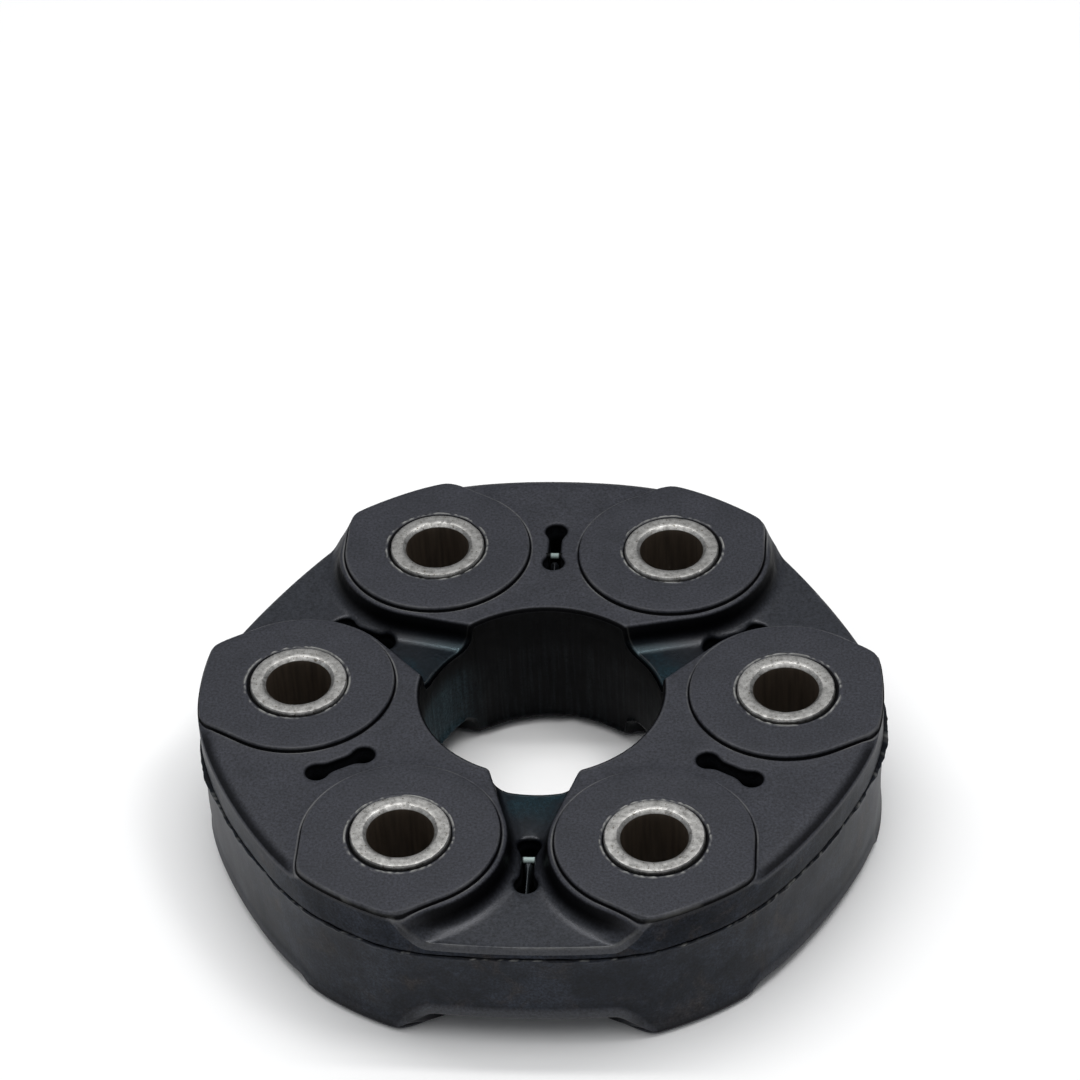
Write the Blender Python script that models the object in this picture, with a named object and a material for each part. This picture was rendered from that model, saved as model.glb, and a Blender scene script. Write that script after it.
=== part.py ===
"""Driveshaft flex disc: a rubber ring moulded round six steel sleeves and the cord loops that join them.

The disc lies flat with its axis on Z, and the sleeves stand on z = 0. One sleeve is on the +X axis,
and the webs between the sleeves are low and high by turns. Sizes are in millimetres: points become
metres where the meshes are made.
"""

from math import atan2, cos, pi, radians, sin, sqrt

import bmesh
import bpy
from mathutils import Vector

MM = 0.001
SLEEVES = 6
PITCH = 2 * pi / SLEEVES
LOW_WEBS = (0, 2, 4)
HIGH_WEBS = (1, 3, 5)

# Bolt sleeves, turned from steel tube
BOLT_CIRCLE_R = 45.0
SLEEVE_R = 9.0
SLEEVE_BORE_R = 6.05
SLEEVE_LENGTH = 30.5
SLEEVE_PROUD = 0.5
BORE_CHAMFER = 0.6
EDGE_BREAK = 0.25

# Rubber body, seen from above
SIDE_BEYOND_SLEEVES = 18.2
SIDE_CORNER_ANGLE = radians(10.8)
CORNER_CUT = radians(0.8)
HIGH_WEB_BULGE = 2.0
LOW_WEB_BULGE = 1.3
CENTRE_BORE_R = 22.5
PAD_R = 17.7
PAD_FLANK_ANGLE = radians(60)

# Rubber body, steps of its two faces and breaks of its edges
WEB_STEP = 0.9
LOW_WEB_DROP = 4.9
HIGH_WEB_EDGE_R = 1.5
PAD_EDGE_CHAMFER = 0.4
WALL_DRAFT = 0.35

# Recesses of the low webs
LEDGE = 1.2
LEDGE_CHAMFER = 0.45
RECESS_FLOOR_HALF = 0.3
THROAT_ANGLE = radians(17)

# Parting ridge round the side, where the halves of the mould met
RIDGE_Z = 21.4
RIDGE_HALF = 0.35
RIDGE_PROUD = 0.3
RIDGE_UNDERCUT = 0.3

# Slots with round ends, one in each web, a wall short of the cord outside them; two have a thin tie across
SLOT_WALL = 0.75
SLOT_LENGTH = 13.3
SLOT_END_R = 2.0
SLOT_WAIST = 2.1
SLOT_BLEND_R = 4.0
SLOT_MOUTH = 0.5
TIE_WEBS = (1, 4)
TIE_R = 0.65
TIE_INWARDS = 2.0
TIE_DEPTH = 0.75

# Cord loops and the collars that keep them in place on the sleeves
CLEARANCE = 0.3
LOOP_FIT = 0.4
LOOP_WIDTH = 4.4
LOOP_CHAMFER = 1.2
LOOP_SPACING = 1.0
OUTER_LOOP_HEIGHT = 5.2
COLLAR_SKIN = 1.5
COLLAR_THICKNESS = 1.0
COLLAR_RIM = 0.8

# Steps of the round forms
SIDE_STEPS = 5
PAD_STEPS = 18
RECESS_STEPS = 5
FILLET_STEPS = 3
SLOT_END_STEPS = 3
SLOT_BLEND_STEPS = 2
SLEEVE_STEPS = 24
HOLE_STEPS = 24
BORE_STEPS = 40
LOOP_STEPS = 8
COLLAR_STEPS = 16
TIE_STEPS = 8

# Sizes that follow from those above
PAD_TOP = SLEEVE_LENGTH - SLEEVE_PROUD
HIGH_TOP = PAD_TOP - WEB_STEP
LOW_TOP = HIGH_TOP - LOW_WEB_DROP
SLEEVE_ACROSS = BOLT_CIRCLE_R * sin(PITCH / 2)
SLEEVE_OUT = BOLT_CIRCLE_R * cos(PITCH / 2)
RUBBER_R = BOLT_CIRCLE_R + SIDE_BEYOND_SLEEVES
ROOM_BETWEEN_LEDGES = SLEEVE_ACROSS - PAD_R - LEDGE
RECESS_FILLET = min(ROOM_BETWEEN_LEDGES - RECESS_FLOOR_HALF, LOW_WEB_DROP - LEDGE_CHAMFER)
LOOP_INNER_R = SLEEVE_R + LOOP_FIT
SLOT_R = SLEEVE_OUT + LOOP_INNER_R - CLEARANCE - SLOT_WALL - SLOT_LENGTH / 2
PAD_FACING = pi / 2 - PITCH / 2 + PAD_FLANK_ANGLE
COLLAR_TOP = PAD_TOP - COLLAR_SKIN
COLLAR_FOOT = COLLAR_TOP - COLLAR_THICKNESS
COLLAR_R = LOOP_INNER_R + LOOP_WIDTH + COLLAR_RIM
OUTER_LOOP_TOP = COLLAR_FOOT - CLEARANCE
OUTER_LOOP_FOOT = OUTER_LOOP_TOP - OUTER_LOOP_HEIGHT
MIDDLE_LOOP_TOP = OUTER_LOOP_FOOT - LOOP_SPACING

# How far cutters run past the body, to its side and above its faces
BESIDE = 8.0
ABOVE = 2.0


def clear_scene():
    for old in list(bpy.data.objects):
        bpy.data.objects.remove(old, do_unlink=True)


def material(name, colour, roughness, metallic=0.0):
    made = bpy.data.materials.new(name)
    made.use_nodes = True
    shader = made.node_tree.nodes["Principled BSDF"]
    shader.inputs["Base Color"].default_value = (*colour, 1.0)
    shader.inputs["Roughness"].default_value = roughness
    shader.inputs["Metallic"].default_value = metallic
    return made


def object_from(name, bm, finish=None):
    """An object from a bmesh of closed shells, faces turned outwards and round faces smooth."""
    bmesh.ops.recalc_face_normals(bm, faces=bm.faces)
    mesh = bpy.data.meshes.new(name)
    bm.to_mesh(mesh)
    bm.free()
    mesh.shade_smooth()
    mesh.set_sharp_from_angle(angle=radians(32))
    if finish:
        mesh.materials.append(finish)
    made = bpy.data.objects.new(name, mesh)
    bpy.context.scene.collection.objects.link(made)
    return made


def helper_from(name, bm):
    """An object that only cuts or adds, left out of the finished part."""
    made = object_from(name, bm)
    made.hide_render = True
    made.display_type = "WIRE"
    return made


def polar(r, angle):
    return Vector((r * cos(angle), r * sin(angle)))


def in_web(across, outwards, web):
    """A point given across and outwards from the axis along a web's middle, put in its place."""
    out = polar(1.0, PITCH * (web + 0.5))
    return Vector((out.y, -out.x)) * across + out * outwards


def new_vert(bm, point, z):
    return bm.verts.new(Vector((point[0], point[1], z)) * MM)


def join_loops(bm, loops):
    """Quads between neighbouring closed loops of vertices."""
    count = len(loops[0])
    for low, high in zip(loops, loops[1:]):
        for i in range(count):
            j = (i + 1) % count
            bm.faces.new((low[i], low[j], high[j], high[i]))


def add_loft(bm, levels):
    """A closed solid through outlines of equal length: each level is an outline and its height."""
    loops = [[new_vert(bm, point, z) for point in points] for points, z in levels]
    join_loops(bm, loops)
    bm.faces.new(loops[0][::-1])
    bm.faces.new(loops[-1])


def add_turned(bm, profile, steps, centre):
    """A closed ring: a profile of (radius, height) points turned about a sleeve's axis."""
    loops = []
    for i in range(steps):
        out = polar(1.0, 2 * pi * (i + 0.5) / steps)
        loops.append([new_vert(bm, centre + out * r, z) for r, z in profile])
    join_loops(bm, loops + loops[:1])


def circle(r, steps, centre=Vector((0.0, 0.0))):
    return [centre + polar(r, 2 * pi * (i + 0.5) / steps) for i in range(steps)]


def both_faces(bm):
    """Adds the same shells again, turned over for the disc's other face."""
    copy = bmesh.ops.duplicate(bm, geom=bm.verts[:] + bm.edges[:] + bm.faces[:])
    for item in copy["geom"]:
        if isinstance(item, bmesh.types.BMVert):
            item.co.z = SLEEVE_LENGTH * MM - item.co.z
    bm.normal_update()
    return bm


def sleeve_centre(sleeve):
    return polar(BOLT_CIRCLE_R, PITCH * sleeve)


def side_arc(web, inset):
    """The flat arc of a web's side: its centre's distance along the web's middle, and its radius."""
    half = RUBBER_R * sin(PITCH / 2 - SIDE_CORNER_ANGLE)
    chord = RUBBER_R * cos(PITCH / 2 - SIDE_CORNER_ANGLE)
    rise = HIGH_WEB_BULGE if web in HIGH_WEBS else LOW_WEB_BULGE
    r = (half**2 + rise**2) / (2 * rise)
    return chord + rise - r, r - inset


def side_points(web, inset, half_angle, steps):
    """Points along a web's side, between two angles as seen from the arc's own centre."""
    centre, r = side_arc(web, inset)
    angles = [half_angle * (1 - 2 * i / steps) for i in range(steps + 1)]
    return [in_web(r * sin(a), centre + r * cos(a), web) for a in angles]


def outline(inset):
    """The body's outer edge: a round stretch at each sleeve and a flat arc at each web."""
    points = []
    for k in range(SLEEVES):
        reach = SIDE_CORNER_ANGLE - CORNER_CUT
        for i in range(SIDE_STEPS + 1):
            points.append(polar(RUBBER_R - inset, PITCH * k + reach * (2 * i / SIDE_STEPS - 1)))
        centre = side_arc(k, inset)[0]
        corner = polar(RUBBER_R - inset, pi / 2 - PITCH / 2 + SIDE_CORNER_ANGLE + CORNER_CUT)
        points += side_points(k, inset, atan2(corner.x, corner.y - centre), SIDE_STEPS)
    return points


def moulded_block():
    """The body before its faces are relieved: outer wall, parting ridge and broken edges."""
    levels = (
        (WALL_DRAFT + PAD_EDGE_CHAMFER, SLEEVE_PROUD),
        (WALL_DRAFT, SLEEVE_PROUD + PAD_EDGE_CHAMFER),
        (RIDGE_UNDERCUT, RIDGE_Z - RIDGE_HALF),
        (-RIDGE_PROUD, RIDGE_Z - RIDGE_HALF / 3),
        (-RIDGE_PROUD, RIDGE_Z + RIDGE_HALF / 3),
        (0.0, RIDGE_Z + RIDGE_HALF),
        (0.0, PAD_TOP - PAD_EDGE_CHAMFER),
        (PAD_EDGE_CHAMFER, PAD_TOP),
    )
    bm = bmesh.new()
    add_loft(bm, [(outline(inset), z) for inset, z in levels])
    return bm


def flank_point(r, reach):
    """A point on the straight flank that runs on from a circle about the right-hand sleeve."""
    touch = Vector((SLEEVE_ACROSS, SLEEVE_OUT)) + polar(r, PAD_FACING)
    return touch + Vector((sin(PAD_FACING), -cos(PAD_FACING))) * reach


def flank_meets_side(web, inset):
    """Where the pad's flank meets the web's side arc, as an angle at the arc's centre."""
    centre, r = side_arc(web, inset)
    along = Vector((sin(PAD_FACING), -cos(PAD_FACING)))
    start = flank_point(PAD_R, 0.0) - Vector((0.0, centre))
    b = start.dot(along)
    met = start + along * (sqrt(b**2 - start.length_squared + r**2) - b)
    return atan2(met.x, met.y)


def edge_rows(web):
    """Inset and height of each row at a web's outer end: high webs have a rounded edge there."""
    if web in LOW_WEBS:
        return [(-BESIDE, HIGH_TOP)]
    rows = []
    for i in range(FILLET_STEPS + 1):
        turn = pi / 2 * i / FILLET_STEPS
        rows.append((HIGH_WEB_EDGE_R * (1 - sin(turn)), HIGH_TOP - HIGH_WEB_EDGE_R * (1 - cos(turn))))
    return rows + [(-BESIDE, HIGH_TOP - HIGH_WEB_EDGE_R)]


def web_level_cutter():
    """Relieves a face everywhere but on the six pads, down to the level of the high webs."""
    bm = bmesh.new()
    floor = []
    roof = []
    top = PAD_TOP + ABOVE
    for web in range(SLEEVES):
        rows = []
        for inset, z in edge_rows(web):
            points = side_points(web, inset, flank_meets_side(web, inset), SIDE_STEPS)
            rows.append([new_vert(bm, point, z) for point in points])
        rows.append([new_vert(bm, point, top) for point in points])
        for inner, outer in zip(rows, rows[1:]):
            for i in range(SIDE_STEPS):
                bm.faces.new((inner[i], inner[i + 1], outer[i + 1], outer[i]))
        touch = flank_point(PAD_R, 0.0)
        ends = [in_web(touch.x, touch.y, web), in_web(-touch.x, touch.y, web)]
        low = [new_vert(bm, point, HIGH_TOP) for point in ends]
        high = [new_vert(bm, point, top) for point in ends]
        for end, edge in ((0, 0), (1, SIDE_STEPS)):
            bm.faces.new([low[end]] + [row[edge] for row in rows] + [high[end]])
        sleeve = PITCH * (web + 1)
        centre = polar(BOLT_CIRCLE_R, sleeve)
        sweep = 2 * (pi - PAD_FLANK_ANGLE)
        angles = [sleeve - PAD_FLANK_ANGLE - sweep * i / PAD_STEPS for i in range(1, PAD_STEPS)]
        round_pad = [centre + polar(PAD_R, a) for a in angles]
        floor += [low[0], *rows[0], low[1]] + [new_vert(bm, point, HIGH_TOP) for point in round_pad]
        roof += [high[0], *rows[-1], high[1]] + [new_vert(bm, point, top) for point in round_pad]
    add_pad_walls(bm, floor, roof)
    bm.faces.new(floor)
    bm.faces.new(roof)
    return both_faces(bm)


def add_pad_walls(bm, floor, roof):
    """The upright faces along the pads' circles, which the webs' ends leave open."""
    per_web = len(floor) // SLEEVES
    first = SIDE_STEPS + 2
    for web in range(SLEEVES):
        for i in range(first, per_web):
            a = web * per_web + i
            b = (a + 1) % len(floor)
            bm.faces.new((floor[a], floor[b], roof[b], roof[a]))


def recess_outline(inset, web):
    """A low web's recess: ledges round both pads, straight flanks outwards and a throat to the bore."""
    r = PAD_R + LEDGE + inset
    throat = pi + THROAT_ANGLE
    right = Vector((SLEEVE_ACROSS, SLEEVE_OUT))
    to_bore = Vector((-sin(throat), cos(throat))) * (BOLT_CIRCLE_R - CENTRE_BORE_R)
    half = [right + polar(r, throat) + to_bore]
    for i in range(RECESS_STEPS + 1):
        half.append(right + polar(r, throat + (PAD_FACING - throat) * i / RECESS_STEPS))
    half.append(flank_point(r, RUBBER_R - BOLT_CIRCLE_R + ABOVE))
    both = half + [Vector((-p.x, p.y)) for p in reversed(half)]
    return [in_web(p.x, p.y, web) for p in both]


def recess_cutter():
    """The low webs' recesses in both faces, with a broad fillet round the floor."""
    bm = bmesh.new()
    for web in LOW_WEBS:
        levels = []
        for i in range(FILLET_STEPS + 1):
            turn = pi / 2 * i / FILLET_STEPS
            inset = RECESS_FILLET * (1 - sin(turn))
            levels.append((recess_outline(inset, web), LOW_TOP + RECESS_FILLET * (1 - cos(turn))))
        levels.append((recess_outline(0.0, web), HIGH_TOP - LEDGE_CHAMFER))
        levels.append((recess_outline(-2 * LEDGE_CHAMFER, web), HIGH_TOP + LEDGE_CHAMFER))
        add_loft(bm, levels)
    return both_faces(bm)


def slot_quarter(grow):
    """A quarter of a slot, from its round end to its waist, as (outwards, across) points."""
    end = SLOT_LENGTH / 2 - SLOT_END_R
    across = SLOT_WAIST / 2 + SLOT_BLEND_R
    back = sqrt((SLOT_END_R + SLOT_BLEND_R) ** 2 - across**2)
    meet = atan2(across, -back)
    angles = [meet * i / SLOT_END_STEPS for i in range(SLOT_END_STEPS + 1)]
    points = [Vector((end, 0.0)) + polar(SLOT_END_R + grow, a) for a in angles]
    for i in range(1, SLOT_BLEND_STEPS + 1):
        a = meet - pi + (pi / 2 - meet) * i / SLOT_BLEND_STEPS
        points.append(Vector((end - back, across)) + polar(SLOT_BLEND_R - grow, a))
    return points


def slot_outline(grow, web):
    quarter = slot_quarter(grow)
    half = quarter + [Vector((-p.x, p.y)) for p in reversed(quarter)]
    whole = half + [Vector((p.x, -p.y)) for p in reversed(half[1:-1])]
    return [in_web(p.y, SLOT_R + p.x, web) for p in whole]


def slot_cutter():
    """A slot with round ends right through each web, its mouths opened a little."""
    bm = bmesh.new()
    for web in range(SLEEVES):
        mouth = HIGH_TOP if web in HIGH_WEBS else LOW_TOP
        flare = 2 * SLOT_MOUTH
        upper = ((0.0, mouth - SLOT_MOUTH), (flare, mouth + SLOT_MOUTH), (flare, PAD_TOP + ABOVE))
        lower = [(grow, SLEEVE_LENGTH - z) for grow, z in reversed(upper)]
        add_loft(bm, [(slot_outline(grow, web), z) for grow, z in (*lower, *upper)])
    return bm


def slot_ties():
    """Thin rubber bars left across the waists of two slots, near the upper face."""
    bm = bmesh.new()
    half = SLOT_WAIST / 2 + SLOT_MOUTH
    for web in TIE_WEBS:
        mouth = HIGH_TOP if web in HIGH_WEBS else LOW_TOP
        loops = []
        for across in (-half, half):
            ring = circle(TIE_R, TIE_STEPS, Vector((SLOT_R - TIE_INWARDS, mouth - TIE_DEPTH)))
            loops.append([new_vert(bm, in_web(across, p.x, web), p.y) for p in ring])
        join_loops(bm, loops)
        bm.faces.new(loops[0])
        bm.faces.new(loops[1][::-1])
    return bm


def add_post(bm, r, steps, centre, z_low, z_high):
    add_loft(bm, [(circle(r, steps, centre), z) for z in (z_low, z_high)])


def bore_cutter():
    bm = bmesh.new()
    add_post(bm, CENTRE_BORE_R, BORE_STEPS, Vector((0.0, 0.0)), -ABOVE, SLEEVE_LENGTH + ABOVE)
    return bm


def sleeve_hole_cutter():
    bm = bmesh.new()
    for k in range(SLEEVES):
        hole_r = SLEEVE_R + CLEARANCE
        add_post(bm, hole_r, HOLE_STEPS, sleeve_centre(k), -ABOVE, SLEEVE_LENGTH + ABOVE)
    return bm


def collar_pocket_cutter():
    bm = bmesh.new()
    for k in range(SLEEVES):
        pocket_r = COLLAR_R + CLEARANCE
        low = COLLAR_FOOT - CLEARANCE
        high = COLLAR_TOP + CLEARANCE
        add_post(bm, pocket_r, COLLAR_STEPS, sleeve_centre(k), low, high)
    return both_faces(bm)


def add_band(bm, section, web):
    """A closed band round the two sleeves beside a web, with a section of (radius, height) points."""
    loops = []
    for side in (1, -1):
        for i in range(LOOP_STEPS + 1):
            out = polar(1.0, pi * (i / LOOP_STEPS - 0.5)) * side
            centre = Vector((SLEEVE_ACROSS * side, SLEEVE_OUT))
            points = [(in_web(*(centre + out * r), web), z) for r, z in section]
            loops.append([new_vert(bm, point, z) for point, z in points])
    join_loops(bm, loops + loops[:1])


def loop_section(foot, top):
    """A cord loop's section, flat on the sleeve and round-shouldered outside."""
    outer = LOOP_INNER_R + LOOP_WIDTH
    shoulder = outer - LOOP_CHAMFER
    return (
        (LOOP_INNER_R, foot),
        (shoulder, foot),
        (outer, foot + LOOP_CHAMFER),
        (outer, top - LOOP_CHAMFER),
        (shoulder, top),
        (LOOP_INNER_R, top),
    )


def hollow_section(foot, top):
    """The plain section of the hollow that a cord loop fills."""
    inner = LOOP_INNER_R - CLEARANCE
    outer = LOOP_INNER_R + LOOP_WIDTH + CLEARANCE
    low = foot - CLEARANCE
    high = top + CLEARANCE
    return ((inner, low), (outer, low), (outer, high), (inner, high))


def loop_layers():
    """Name, webs, foot and top of each layer of cord loops."""
    return (
        ("middle_cord_loop", LOW_WEBS, SLEEVE_LENGTH - MIDDLE_LOOP_TOP, MIDDLE_LOOP_TOP),
        ("upper_cord_loop", HIGH_WEBS, OUTER_LOOP_FOOT, OUTER_LOOP_TOP),
        ("lower_cord_loop", HIGH_WEBS, SLEEVE_LENGTH - OUTER_LOOP_TOP, SLEEVE_LENGTH - OUTER_LOOP_FOOT),
    )


def loop_hollow_cutter(webs, foot, top):
    bm = bmesh.new()
    for web in webs:
        add_band(bm, hollow_section(foot, top), web)
    return bm


def build_body(rubber):
    body = object_from("rubber_body", moulded_block(), rubber)
    tools = [
        ("web_level", web_level_cutter(), "DIFFERENCE"),
        ("recesses", recess_cutter(), "DIFFERENCE"),
        ("centre_bore", bore_cutter(), "DIFFERENCE"),
        ("slots", slot_cutter(), "DIFFERENCE"),
        ("slot_ties", slot_ties(), "UNION"),
        ("sleeve_holes", sleeve_hole_cutter(), "DIFFERENCE"),
        ("collar_pockets", collar_pocket_cutter(), "DIFFERENCE"),
    ]
    for name, webs, foot, top in loop_layers():
        tools.append((f"{name}_hollows", loop_hollow_cutter(webs, foot, top), "DIFFERENCE"))
    for name, bm, operation in tools:
        step = body.modifiers.new(name, "BOOLEAN")
        step.operation = operation
        # The exact solver leaves edges open where the hollows meet the sleeve holes and pockets
        step.solver = "MANIFOLD" if name.endswith("hollows") else "EXACT"
        step.object = helper_from(name, bm)


def build_sleeves(steel):
    """Turned sleeves with broken outer edges and chamfered bores."""
    for k in range(SLEEVES):
        bm = bmesh.new()
        lower = (
            (SLEEVE_BORE_R, BORE_CHAMFER),
            (SLEEVE_BORE_R + BORE_CHAMFER, 0.0),
            (SLEEVE_R - EDGE_BREAK, 0.0),
            (SLEEVE_R, EDGE_BREAK),
        )
        upper = [(r, SLEEVE_LENGTH - z) for r, z in reversed(lower)]
        add_turned(bm, [*lower, *upper], SLEEVE_STEPS, sleeve_centre(k))
        object_from(f"steel_sleeve_{k + 1}", bm, steel)


def build_collars(nylon):
    """Flat rings above and below the cord loops on each sleeve."""
    layers = (
        ("upper_collar", COLLAR_FOOT, COLLAR_TOP),
        ("lower_collar", SLEEVE_LENGTH - COLLAR_TOP, SLEEVE_LENGTH - COLLAR_FOOT),
    )
    for name, foot, top in layers:
        for k in range(SLEEVES):
            bm = bmesh.new()
            profile = ((LOOP_INNER_R, foot), (COLLAR_R, foot), (COLLAR_R, top), (LOOP_INNER_R, top))
            add_turned(bm, profile, COLLAR_STEPS, sleeve_centre(k))
            object_from(f"{name}_{k + 1}", bm, nylon)


def build_loops(cord):
    for name, webs, foot, top in loop_layers():
        for number, web in enumerate(webs, 1):
            bm = bmesh.new()
            add_band(bm, loop_section(foot, top), web)
            object_from(f"{name}_{number}", bm, cord)


def main():
    clear_scene()
    rubber = material("Moulded black rubber", (0.045, 0.047, 0.055), 0.6)
    steel = material("Turned steel tube", (0.52, 0.52, 0.51), 0.38, 1.0)
    nylon = material("Glass-filled nylon", (0.10, 0.10, 0.10), 0.5)
    cord = material("Wound polyester cord", (0.42, 0.36, 0.25), 0.8)
    build_body(rubber)
    build_sleeves(steel)
    build_collars(nylon)
    build_loops(cord)


main()
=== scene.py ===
"""The looks of a driveshaft flex disc: a rubber ring moulded round six steel sleeves and wound cord.

The rubber is drawn as a plan of contour lines, which is filled with triangles, lifted to the height of
each point and joined to the same face turned over by its walls. Sizes are in millimetres until a mesh
is made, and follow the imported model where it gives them.
"""

from functools import partial
from math import atan2, cos, exp, pi, radians, sin, sqrt

import bmesh
import bpy
import numpy as np
from mathutils import Matrix, Vector, geometry, kdtree, noise


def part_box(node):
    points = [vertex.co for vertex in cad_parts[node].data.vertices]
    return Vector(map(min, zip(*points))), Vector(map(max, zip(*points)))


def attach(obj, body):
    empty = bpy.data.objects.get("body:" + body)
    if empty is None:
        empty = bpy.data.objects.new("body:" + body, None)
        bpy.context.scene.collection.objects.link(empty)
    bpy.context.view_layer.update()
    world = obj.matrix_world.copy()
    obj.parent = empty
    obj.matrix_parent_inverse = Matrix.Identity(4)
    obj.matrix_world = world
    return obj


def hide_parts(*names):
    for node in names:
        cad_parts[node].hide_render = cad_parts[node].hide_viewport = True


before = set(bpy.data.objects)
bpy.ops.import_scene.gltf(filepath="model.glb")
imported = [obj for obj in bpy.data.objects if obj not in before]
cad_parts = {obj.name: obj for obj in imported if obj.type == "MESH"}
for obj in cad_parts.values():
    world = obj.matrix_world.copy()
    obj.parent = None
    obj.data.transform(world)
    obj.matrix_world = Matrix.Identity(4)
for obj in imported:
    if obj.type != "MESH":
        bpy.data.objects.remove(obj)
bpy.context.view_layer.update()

MM = 0.001
SLEEVES = 6
PITCH = 2 * pi / SLEEVES

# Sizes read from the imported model
sleeve_low, sleeve_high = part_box("steel_sleeve_1")
SLEEVE_LENGTH = sleeve_high.z / MM
BOLT_CIRCLE_R = (sleeve_low.x + sleeve_high.x) / 2 / MM
PAD_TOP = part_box("rubber_body")[1].z / MM

# Steel sleeves
SLEEVE_R = 9.0
SLEEVE_BORE_R = 6.05
BORE_CHAMFER = 0.6
EDGE_BREAK = 0.22
SLEEVE_SIDES = 180

# Rubber, seen from above
RUBBER_R = BOLT_CIRCLE_R + 18.2
SIDE_CORNER_ANGLE = radians(10.8)
SIDE_CORNER_BLEND = 1.2
# The mould that shaped the side sat a little off the sleeves' centre
MOULD_SHIFT = (-0.25, -0.15)
HIGH_WEB_BULGE = 2.0
LOW_WEB_BULGE = 1.3
CENTRE_BORE_R = 22.5
SLEEVE_HOLE_R = SLEEVE_R + 0.12
PAD_R = 17.7
PAD_FLANK_ANGLE = radians(60)
THROAT_ANGLE = radians(17)
LEDGE_TAPER = radians(3)
SLOT_OUTWARDS = 1.7
SLOT_LENGTH = 13.3
SLOT_END_R = 2.0
SLOT_WAIST = 2.1
SLOT_BLEND_R = 4.0

# Rubber, heights
WEB_STEP = 0.9
LOW_WEB_DROP = 4.9
HIGH_TOP = PAD_TOP - WEB_STEP
LOW_TOP = HIGH_TOP - LOW_WEB_DROP
PARTING_Z = 21.4

# Distances that follow
SLEEVE_ACROSS = BOLT_CIRCLE_R * sin(PITCH / 2)
SLEEVE_OUT = BOLT_CIRCLE_R * cos(PITCH / 2)
PAD_FACING = pi / 2 - PITCH / 2 + PAD_FLANK_ANGLE
LEDGE_FACING = PAD_FACING - LEDGE_TAPER
THROAT_FACING = pi + THROAT_ANGLE
HALF_CHORD = RUBBER_R * sin(PITCH / 2 - SIDE_CORNER_ANGLE)
CHORD = RUBBER_R * cos(PITCH / 2 - SIDE_CORNER_ANGLE)
SLOT_R = SLEEVE_OUT + SLOT_OUTWARDS
SLOT_END = SLOT_LENGTH / 2 - SLOT_END_R
SLOT_BLEND_ACROSS = SLOT_WAIST / 2 + SLOT_BLEND_R
SLOT_BLEND_OUT = SLOT_END - sqrt((SLOT_END_R + SLOT_BLEND_R) ** 2 - SLOT_BLEND_ACROSS**2)

# Edge profiles: distance outwards across the edge, and height above the level inside it
PAD_EDGE = (
    (-0.42, 0.0), (-0.22, -0.03), (-0.09, -0.1), (0.0, -0.26), (0.05, -0.62),
    (0.1, -1.0), (0.2, -1.07), (0.32, -1.0), (0.45, -0.87), (0.6, -0.84), (0.72, -0.86),
    (0.9, -WEB_STEP),
)
SLEEVE_LIP = (
    (0.0, -0.4), (0.06, -0.24), (0.2, -0.18), (0.36, -0.14), (0.5, -0.06), (0.64, -0.02),
    (0.78, -0.02), (0.92, -0.05), (1.1, -0.02), (1.35, 0.0), (1.6, 0.0),
)
BORE_EDGE = (
    (0.0, -0.7), (0.06, -0.42), (0.18, -0.18), (0.36, -0.04), (0.6, 0.0), (0.75, 0.0), (1.0, 0.0),
)
SLOT_EDGE = ((0.0, -0.7), (0.08, -0.42), (0.24, -0.18), (0.5, -0.04), (0.8, 0.0))

# Torn lip of rubber round each sleeve: its distance from the hole, how much wider or narrower that gets on
# the outer and the inner side, and its height
LIP_MIDDLE = 0.62
LIP_SHIFT = 0.28
LIP_HEIGHT = 0.24

# Painted shade in the folds: a distance and how dark, outside a pad's edge, outwards from the centre bore,
# and inwards from the wall where a high web rolls off
GROOVE_SHADE = ((0.0, 0.0), (0.05, 1.0), (0.24, 1.0), (0.38, 0.0))
BORE_SHADE = ((0.0, 1.0), (0.42, 1.0), (0.6, 0.0))
ROLL_SHADE = ((0.18, 0.0), (0.28, 0.85), (0.9, 0.8), (1.8, 0.0))
# Painted highlights along edges: a distance and how bright, outside a pad's edge, outwards from the centre
# bore, and inwards from the wall along a low web
PAD_HIGHLIGHT = (
    (-0.34, 0.0), (-0.14, 0.14), (-0.02, 0.12), (0.04, 0.0), (0.36, 0.0), (0.45, 0.36), (0.56, 0.3),
    (0.7, 0.0),
)
BORE_HIGHLIGHT = ((0.6, 0.0), (0.75, 0.1), (0.95, 0.0))
RIM_HIGHLIGHT = ((0.1, 0.0), (0.22, 0.2), (0.4, 0.2), (0.6, 0.0))

# Edge profiles at the outer wall: distance inwards, and height. The high webs' roll off to a crease
PAD_OUTER_INSET = 0.28
PAD_CORNER_BLEND = 1.7
HIGH_SIDE = (
    (0.0, -1.5), (0.05, -1.25), (0.14, -1.1), (0.2, -1.0), (0.45, -0.84), (0.8, -0.6), (1.2, -0.34),
    (1.6, -0.14), (2.1, 0.0),
)
LOW_SIDE = ((0.0, -1.5), (0.05, -0.8), (0.14, -0.3), (0.22, -0.08), (0.32, 0.03), (0.45, 0.03), (0.7, 0.0))
SIDE_LINES = (0.0, 0.06, 0.14, 0.22, 0.32, 0.45, 0.7, 1.0, 1.4, 2.1)

# Recess wall: round shoulder, steep face and broad fillet
SHOULDER_R = 0.7
RECESS_FILLET = 3.0
RECESS_STEEPNESS = radians(82)
RECESS_FOOT = PAD_R + 4.5
# Near the outer wall the recess eases into a soft saddle, which starts on the ledge
SADDLE_REACH = 4.0
SADDLE_START = -0.9

# Point spacings along the lines and on the grid between them
FINE = 0.7
MEDIUM = 0.93
COARSE = 1.7
GRID = 2.0
LIP_SPACING = 0.54


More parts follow.
